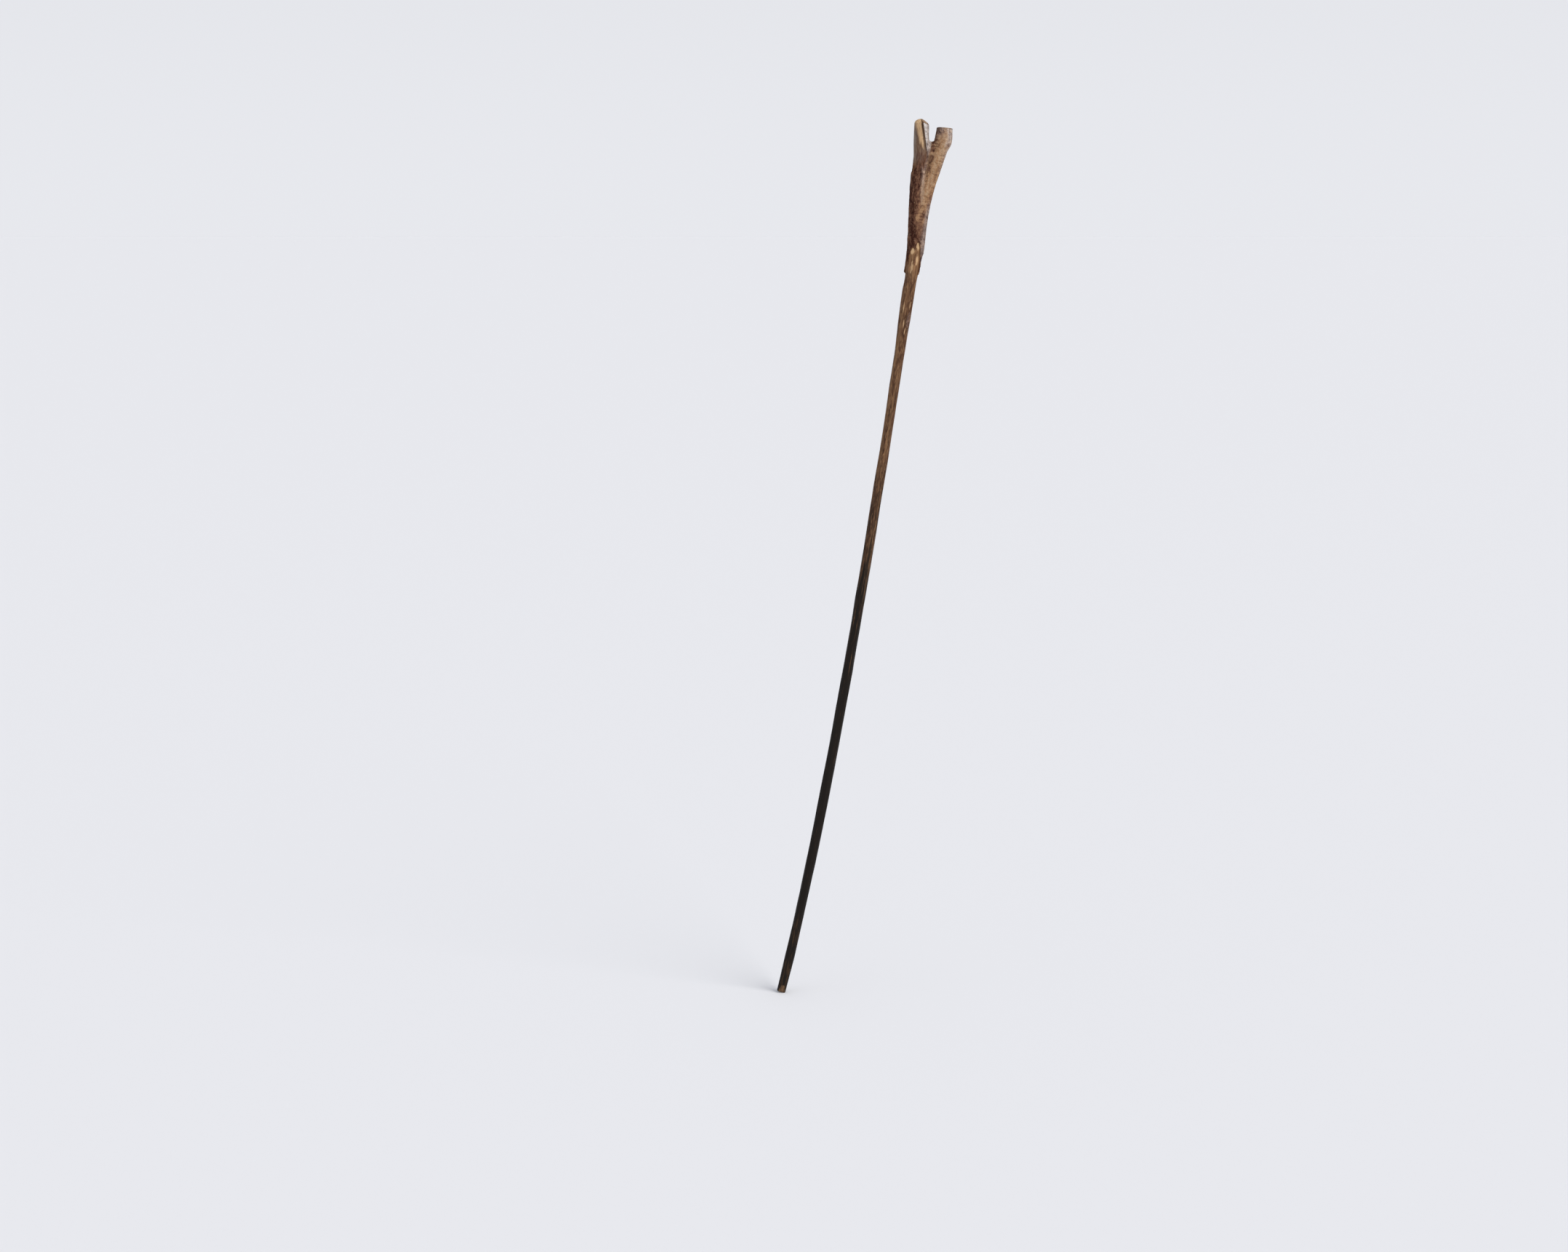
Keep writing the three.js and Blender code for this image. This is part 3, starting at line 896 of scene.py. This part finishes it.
def largest_skin(points, faces):
    """The largest joined skin among the faces, without crumbs that touch nothing."""
    label = np.arange(len(points))
    while True:
        lowest = label[faces].min(axis=1)
        joined = label.copy()
        for corner in faces.T:
            np.minimum.at(joined, corner, lowest)
        joined = joined[joined]
        if np.array_equal(joined, label):
            break
        label = joined
    values, counts = np.unique(label[faces[:, 0]], return_counts=True)
    faces = faces[label[faces[:, 0]] == values[np.argmax(counts)]]
    used, faces = np.unique(faces, return_inverse=True)
    return points[used], faces.reshape(-1, 4)


def steepness(points):
    """How fast the bark's field rises across, back and upwards at each point."""
    reach = 0.02
    rises = []
    for axis in np.eye(3):
        rises.append(bark_field(*(points + reach * axis).T) - bark_field(*(points - reach * axis).T))
    return np.stack(rises, axis=-1) / (2 * reach)


# The bark's skin, from a grid over the whole fork, and then brought closer to its true place
GRID = 0.166
low = np.array([-3.4, -3.5, -1.4])
high = np.array([15.9, 3.5, 58.2])
x, y, z = (np.arange(a, b, GRID) for a, b in zip(low, high))
field = np.concatenate([
    bark_field(x[:, None, None], y[None, :, None], levels[None, None, :])
    for levels in np.array_split(z, 12)
], axis=2)
points, faces = largest_skin(*skin_of_field(unpinched(field), low, GRID))
LARGEST_MOVE = 0.08
for _ in range(2):
    away = bark_field(*points.T)
    slope = steepness(points)
    steep = np.maximum(np.sum(slope ** 2, axis=1), 0.3)
    points -= np.clip(away / steep, -LARGEST_MOVE, LARGEST_MOVE)[:, None] * slope

# Relief of the outer face: lumps, ridges along it, wrinkles across it and small warts
x, y, z = points.T  # these follow when the points move
in_leader, leader, in_branch, branch = places_in(points)
on_branch = ramp(leader - branch, -0.7, 0.7)
twig = in_leader + on_branch[:, None] * (in_branch - in_leader)
out = merged(merged(leader, branch, CREASE), web_out(x, y, z), CREASE)
outer_face = ramp(out, BARK - 0.35, BARK - 0.1)
crease = fading(leader - branch, 0.8) * ramp(in_leader[:, 2], 27, 38)
prong = ramp(twig[:, 2], 14, 30)

WART_GAP_ACROSS = 1.9
WART_GAP_ALONG = 2.7
WART_HALF_WIDTH = 0.42
WART_HALF_HEIGHT = 0.2
BARKED_RADIUS = 2.8


def warts(turn, height):
    """Small raised pores, long across the twig, one at most in each cell of a jittered grid."""
    across = turn * BARKED_RADIUS / WART_GAP_ACROSS
    along = height / WART_GAP_ALONG
    found = np.zeros(len(turn))
    for side in (-1, 0, 1):
        for step in (-1, 0, 1):
            u = np.floor(across).astype(int) + side
            v = np.floor(along).astype(int) + step
            draws = LATTICE[u % LATTICE_SIZE, v % LATTICE_SIZE]
            size = 0.35 + 0.65 * np.abs(draws[:, 29])
            aside = (across - u - 0.5 - 0.4 * draws[:, 5]) * WART_GAP_ACROSS / WART_HALF_WIDTH
            ahead = (along - v - 0.5 - 0.4 * draws[:, 17]) * WART_GAP_ALONG / WART_HALF_HEIGHT
            here = np.clip(1 - np.hypot(aside, ahead) / size, 0, 1)
            found = np.maximum(found, here * (draws[:, 37] > 0))
    return found


leader_warts = warts(turn_of(in_leader), in_leader[:, 2])
branch_warts = warts(turn_of(in_branch) + 2, in_branch[:, 2])
wart = leader_warts * ramp(on_branch, 0.3, 0) + branch_warts * ramp(on_branch, 0.7, 1)
ridge = noise(twig, 1.1, 1.1, 0.1) + 0.6 * noise(twig, 2.3, 2.3, 0.22)
bent = twig + 0.45 * noise(twig, 1.1, 1.1, 0.9)[:, None] * [0, 0, 1]
wrinkle = noise(bent + 11, 0.45, 0.45, 2.6) + 0.5 * noise(bent, 0.8, 0.8, 4.2)
wrinkled = ramp(noise(twig + 5, 0.4, 0.4, 0.2), -0.5, 0.3)
wrinkle = wrinkle * (0.4 + 0.6 * wrinkled) * (0.15 + 0.85 * on_branch * prong)

# The pale ridge down the leader's front, right of its middle: height and place
FRONT_RIDGE = np.array([[27, 3.6], [32, 4.0], [37, 4.3], [43, 3.9], [48, 3.9], [54, 3.0]])
sway = 0.15 * noise(points, 0.5, 0.5, 0.5)
aside = x - smooth(FRONT_RIDGE, z, 1) - sway
frontal = ramp(-y, 0.4, 1.6)
front_ridge = fading(aside, 0.42) * frontal * ramp(z, 26, 31)
front_groove = fading(aside + 0.95, 0.4) * frontal * ramp(z, 26, 31)

# All the relief, kept just inside the bark's own face
relief = (
    0.07 * ridge
    + (0.025 + 0.035 * prong) * wrinkle
    + 0.022 * noise(twig, 3.3, 3.3, 1.5)
    + 0.05 * ramp(wart, 0, 0.5)
    + 0.13 * front_ridge - 0.1 * front_groove
    + crease * (0.1 * noise(twig, 1.4, 1.4, 1.0) - 0.04)
)
# Painted shade where the relief is low, in grooves and the crease between the limbs, and painted
# highlight where it is high
relief_shade_and_highlight = np.clip(0.5 + 2.8 * relief, 0, 1)
relief = np.minimum(relief + 0.12 * noise(twig, 0.14, 0.14, 0.12) - 0.17, -0.01)
points += (outer_face * relief)[:, None] * slope / np.linalg.norm(slope, axis=1, keepdims=True)
bark_piece = new_piece("Fork_Bark", points, faces.tolist())

# What the finish needs to know of each point of the bark
rightward = np.cos(turn_of(twig))
height = twig[:, 2]
facing = ramp(-y, -1.2, 0.8)

# The run of light colour down the front of the branch and into the neck, tan bark with a
# painted highlight along it: height, place, width
LIGHT_RUN = np.array([
    [19, 1.9, 0.4], [23, 2.3, 0.7], [27, 4.1, 1.3], [31, 4.9, 1.3], [37, 7.0, 1.4], [45, 9.8, 1.9],
    [51, 11.3, 1.7],
])
run_place = smooth(LIGHT_RUN, z, 1)
run_width = smooth(LIGHT_RUN, z, 2)
run = fading(x - run_place, run_width) * facing
run = run * ramp(z, 19, 25) * ramp(-z, -54, -50)

# How light and tan the bark is, and how grey. The lightness is mostly painted light, lighter
# on the right towards the key light and darker on the left, with painted highlights along the
# light run, the front ridge and the crease, over the tan that the branch has of itself. The
# grey is weathered bark in a pale strip right of the split and at the branch's end, and a
# painted highlight down the branch's right side, the leader's right side and the neck's right side
warm = 0.12 + 0.16 * rightward * ramp(height, 6, 20) + 0.28 * on_branch * ramp(height, 22, 34)
warm = warm - 0.12 * ramp(-rightward, 0.1, 0.8) * (1 - on_branch) + 0.55 * run + 0.4 * front_ridge
warm = warm + 0.25 * crease * facing
strip = 1.6 * (1 - on_branch) * ramp(rightward, -0.15, 0.25) * ramp(height, 44, 49)
strip = strip * (1 - 0.5 * ramp(in_leader[:, 0], 1.8, 2.5))
uneven = noise(twig, 0.7, 0.7, 0.35) + 0.5 * noise(twig, 1.9, 1.9, 0.8)
branch_end = ramp(rightward + 0.5 * uneven, -0.3, 0.6)
branch_end = (0.25 + 0.75 * branch_end) * ramp(height + 2 * rightward + uneven, 47, 53)
# Painted highlight down the right sides of the branch, the neck and the leader
branch_side = 0.4 * ramp(rightward, 0.45, 0.9) * ramp(height, 36, 46)
neck_side = 0.35 * ramp(rightward, 0.25, 0.75) * ramp(height, 6, 14) * ramp(-height, -31, -24)
leader_side = 0.14 * (1 - on_branch) * ramp(height, 24, 36) * ramp(in_leader[:, 0], 0.5, 1.6)
grey = np.maximum(strip, on_branch * np.maximum(0.78 * branch_end, branch_side)) + leader_side
peeled = ramp(-rightward, 0.55, 0.75) * ramp(z, 37.5, 38.5)
paint(
    bark_piece,
    twig=twig,
    bared=np.clip((BARK - 0.1 - out) / 0.5, 0, 1),
    inner=np.clip(peeled + ramp(-height, -24, -18), 0, 1),
    relief=relief_shade_and_highlight,
    wrinkle=np.clip(0.5 + 0.42 * wrinkle, 0, 1),
    warm=np.clip(warm, 0, 1),
    grey=np.maximum(grey, neck_side) + 0.3 * front_ridge,
    wart=ramp(wart, 0.1, 0.6),
)

BARK_GROOVE = (0.022, 0.011, 0.008)
BARK_DARK = (0.036, 0.011, 0.007)
BARK_BROWN = (0.135, 0.065, 0.040)
BARK_TAN = (0.31, 0.176, 0.093)
BARK_SAND = (0.40, 0.275, 0.175)
BARK_PALE = (0.52, 0.43, 0.35)
BARK_GREY = (0.50, 0.445, 0.41)
BARK_ASH = (0.58, 0.53, 0.495)
BARK_INNER = (0.17, 0.080, 0.038)


def toned(colour, value, dark, light):
    """A colour made darker or lighter by noise."""
    return over(1.0, colour, between(value, 0.3, 0.7, dark, light), "MULTIPLY")


# Patches, flecks, lines along and wrinkles across, over a brown that turns tan where it is lit.
# That tan is painted light, lighter on the right and on wrinkle crests and darker on the left,
# over the tan that the branch has of itself
bark, tree, shader, place = new_finish("Twig Bark", 0.85, 0.04)
patches = streaks(place, (0.5, 0.5, 0.16), 4, 0.6, 0.4)
flecks = streaks(place, (1.5, 1.5, 0.75), 6, 0.68, 0.5)
lines = streaks(place, (3.0, 3.0, 0.4), 5, 0.65, 0.8)
crossings = streaks(place, (1.1, 1.1, 4.0), 3, 0.6, 1.0)
specks = streaks(place, (3.2, 3.2, 5.0), 3, 0.6, 0.5)
relief = told(tree, "relief")
wrinkle = told(tree, "wrinkle")
greyness = told(tree, "grey")
# Painted light: lighter on the right and darker on the left, over some tan of the bark's own
lit = strayed(told(tree, "warm"), patches, 1.6)
lit = strayed(lit, flecks, 2.2)
lit = strayed(lit, wrinkle, 0.3)
colour = layered(
    BARK_DARK,
    (lit, -0.15, 0.3, 1, BARK_BROWN),
    (lit, 0.25, 0.75, 1, BARK_TAN),
    (lit, 0.75, 1.15, 0.8, BARK_SAND),
)
weathered = layered(
    BARK_GREY,
    (flecks, 0.5, 0.7, 1, BARK_PALE),
    (greyness, 0.9, 1.5, 1, BARK_ASH),
)
# Grey weathered bark, and painted highlight down the right sides of the branch, leader and neck
grey = times(greyness, between(flecks, 0.34, 0.58, 0.25, 1))
colour = over(grey, colour, weathered)
colour = over(times(told(tree, "wart"), 0.4), colour, BARK_SAND)
colour = toned(colour, crossings, 0.8, 1.2)
colour = layered(
    colour,
    (specks, 0.62, 0.72, 0.45, BARK_SAND),
    (lines, 0.56, 0.72, 0.6, BARK_GROOVE),
    # Painted shade in the wrinkles' troughs and the relief's grooves, painted highlight on their
    # crests
    (wrinkle, 0.4, 0.15, 0.2, BARK_GROOVE),
    (wrinkle, 0.58, 0.8, 0.35, BARK_SAND),
    (relief, 0.42, 0.15, 0.45, BARK_GROOVE),
    (relief, 0.58, 0.9, 0.35, BARK_TAN),
)

# Inner bark, in streaks where the outer bark is worn or cut away
layers = strayed(told(tree, "bared"), lines, -0.9)
inner = over(told(tree, "inner"), BARK_BROWN, BARK_INNER)
colour = over(between(layers, 0.2, 0.65), colour, toned(inner, lines, 1.3, 0.25))
put(shader.inputs["Base Color"], colour)
put(shader.inputs["Roughness"], between(flecks, 0.3, 0.7, 0.7, 0.92))
grain = maths("SUBTRACT", times(crossings, 0.5), lines)
GRAIN_RELIEF = 0.12
raised(shader, plus(grain, flecks), GRAIN_RELIEF)
settle(bark_piece, bark, "bark")

# Slivers of bark
# Two thin flakes of bark that the knife left standing, one in the bare tongue above the hand
# and one on the scraped wood below it. They are pointed, curved with the stem, and thin out
# to nothing at their ends.
SLIVER_PROUD = 0.42  # how far a flake stands out of the wood
SLIVER_ROOT = 0.12  # how far it sinks into the wood
SLIVER_ACROSS = 17
SLIVER_ALONG = 56


def sliver_rows(height, direction, length, width):
    """A closed flake: rings across it, over its outer face and back under it."""
    levels = height + length / 2 * np.sin(np.linspace(-1, 1, SLIVER_ALONG) * math.pi / 2)
    share = (levels - height) / (length / 2)
    across = np.linspace(-1, 1, SLIVER_ACROSS)
    at = spots(across * width / 2, 0.0, levels[:, None])
    pointed = 1 - np.abs(share) ** np.where(share > 0, 1.4, 3.5)
    half = width / 2 * np.clip(pointed, 0.02, 1)[:, None]
    each_side = at * [0, 0, 1] + np.sign(across)[None, :, None]
    half = half * (1 + 0.45 * noise(each_side, 1, 1, 1.3))
    half = half * (1 + 0.2 * noise(at + 7, 1, 1, 3.5))
    drift = 0.3 * noise(at * [0, 0, 1] + 3, 1, 1, 0.45)
    aside = across * np.minimum(half, width / 2) + drift * width / 2
    angle = math.radians(direction) + aside / GRIP_RADIUS
    rim = 1 - 0.75 * np.abs(across) ** 6
    ends = np.clip(1 - np.abs(share) ** 2.5, 0, 1)[:, None] ** 0.7
    bumps = 1 + 0.22 * noise(at, 2.2, 1, 1.1) + 0.12 * noise(at, 5, 1, 3)
    height_round = np.repeat(levels[:, None], SLIVER_ACROSS, axis=1)
    ground = stem_skin(height_round, angle)[0]
    face = ground + np.minimum(SLIVER_PROUD * rim * ends * bumps, SLIVER_PROUD)
    top, under = (
        set_out(stem_centre, levels, radius * np.cos(angle), radius * np.sin(angle))
        for radius in (face, ground - SLIVER_ROOT)
    )
    return np.concatenate([top, under[:, ::-1]], axis=1)


# Each flake's height, direction in degrees, length and width; then how far its outer bark is
# worn down, how lit and tan it is in painted light, and how grey and sheened
for name, node, sizes, worn_down, warm, grey in (
    ("Bark_Sliver_Upper", "bark_sliver_upper", (8.6, -86, 4.4, 0.65), 0.4, 0.3, 0.0),
    ("Bark_Sliver_Lower", "bark_sliver_lower", (-12.4, -58, 6.4, 1.4), 0.0, 0.15, 0.12),
):
    sliver = solid(name, sliver_rows(*sizes))
    twig = straightened(points_of(sliver), stem_centre)
    proud = np.hypot(twig[:, 0], twig[:, 1]) - stem_skin(twig[:, 2], turn_of(twig))[0]
    bared = np.maximum(worn_down, 0.6 * (1 - ramp(proud, 0.05, 0.25)))
    paint(sliver, twig=twig, bared=bared, inner=0.6, relief=0.52, wrinkle=0.5, warm=warm, grey=grey)
    settle(sliver, bark, node)

# Floor
# A plain pale floor, matt and level, that reaches far past the picture on all sides. It
# lies just under the butt, where the stick would rest.
FLOOR_SIZE = 60.0  # metres
half = FLOOR_SIZE / 2
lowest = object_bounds()[0][2]
corners = [(-half, -half), (half, -half), (half, half), (-half, half)]
floor = new_piece("Floor", [(x, y, lowest) for x, y in corners], [(0, 1, 2, 3)])
pale = bpy.data.materials.new("Pale Floor")
pale.use_nodes = True
shader = pale.node_tree.nodes["Principled BSDF"]
shader.inputs["Base Color"].default_value = (0.80, 0.81, 0.84, 1)
shader.inputs["Roughness"].default_value = 0.9
floor.data.materials.append(pale)
floor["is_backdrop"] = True

# Light
# A soft key light from the upper right front and a much weaker fill light from the left.
# The room round them is pale, and dimmer overhead so that upper faces keep their colour.
def soft_light(name, direction, spread, strength, colour):
    """Even light from one direction, soft at the edges of its shadows."""
    lamp = bpy.data.lights.new(name, "SUN")
    lamp.angle = math.radians(spread)
    lamp.energy = strength
    lamp.color = colour
    turned = Vector(direction).to_track_quat("Z", "Y").to_euler()
    placed(name, lamp).rotation_euler = turned


soft_light("Key", (0.75, -0.65, 0.75), 40, 2.3, (1.0, 0.97, 0.93))
soft_light("Fill", (-0.9, -0.6, 0.35), 60, 0.35, (0.94, 0.97, 1.0))

world = bpy.data.worlds.new("Pale Room")
bpy.context.scene.world = world
world.use_nodes = True
tree = world.node_tree
sky = tree.nodes.new("ShaderNodeTexCoord").outputs["Generated"]
rise = node_of("ShaderNodeSeparateXYZ", {0: sky}, "Z")
room = over(between(rise, 0.0, 0.6), (0.80, 0.81, 0.85), (0.50, 0.51, 0.54))
put(tree.nodes["Background"].inputs["Color"], room)
bpy.context.scene.view_settings.view_transform = "Standard"

# Camera
# It stands 850 millimetres off and looks 10 degrees down, as the photograph does. It aims
# beside the stick, which puts the stick at its own place in the frame.
CAMERA_AIM = (-0.044818, 0.0, -0.123414)
CAMERA_DISTANCE = 0.85
CAMERA_PITCH = math.radians(10)
lens = bpy.data.cameras.new("Camera")
lens.sensor_width = 36
lens.sensor_fit = "HORIZONTAL"
lens.lens = 53.56
lens.clip_start = 0.01
lens.clip_end = 200
camera = placed("Camera", lens)
camera.location = (
    CAMERA_AIM[0],
    CAMERA_AIM[1] - CAMERA_DISTANCE * math.cos(CAMERA_PITCH),
    CAMERA_AIM[2] + CAMERA_DISTANCE * math.sin(CAMERA_PITCH),
)
camera.rotation_euler = (math.pi / 2 - CAMERA_PITCH, 0, 0)
bpy.context.scene.camera = camera

sizes = {
    "cad": [[float(v) for v in corner] for corner in cad_box],
    "visual": [[float(v) for v in corner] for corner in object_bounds()],
}
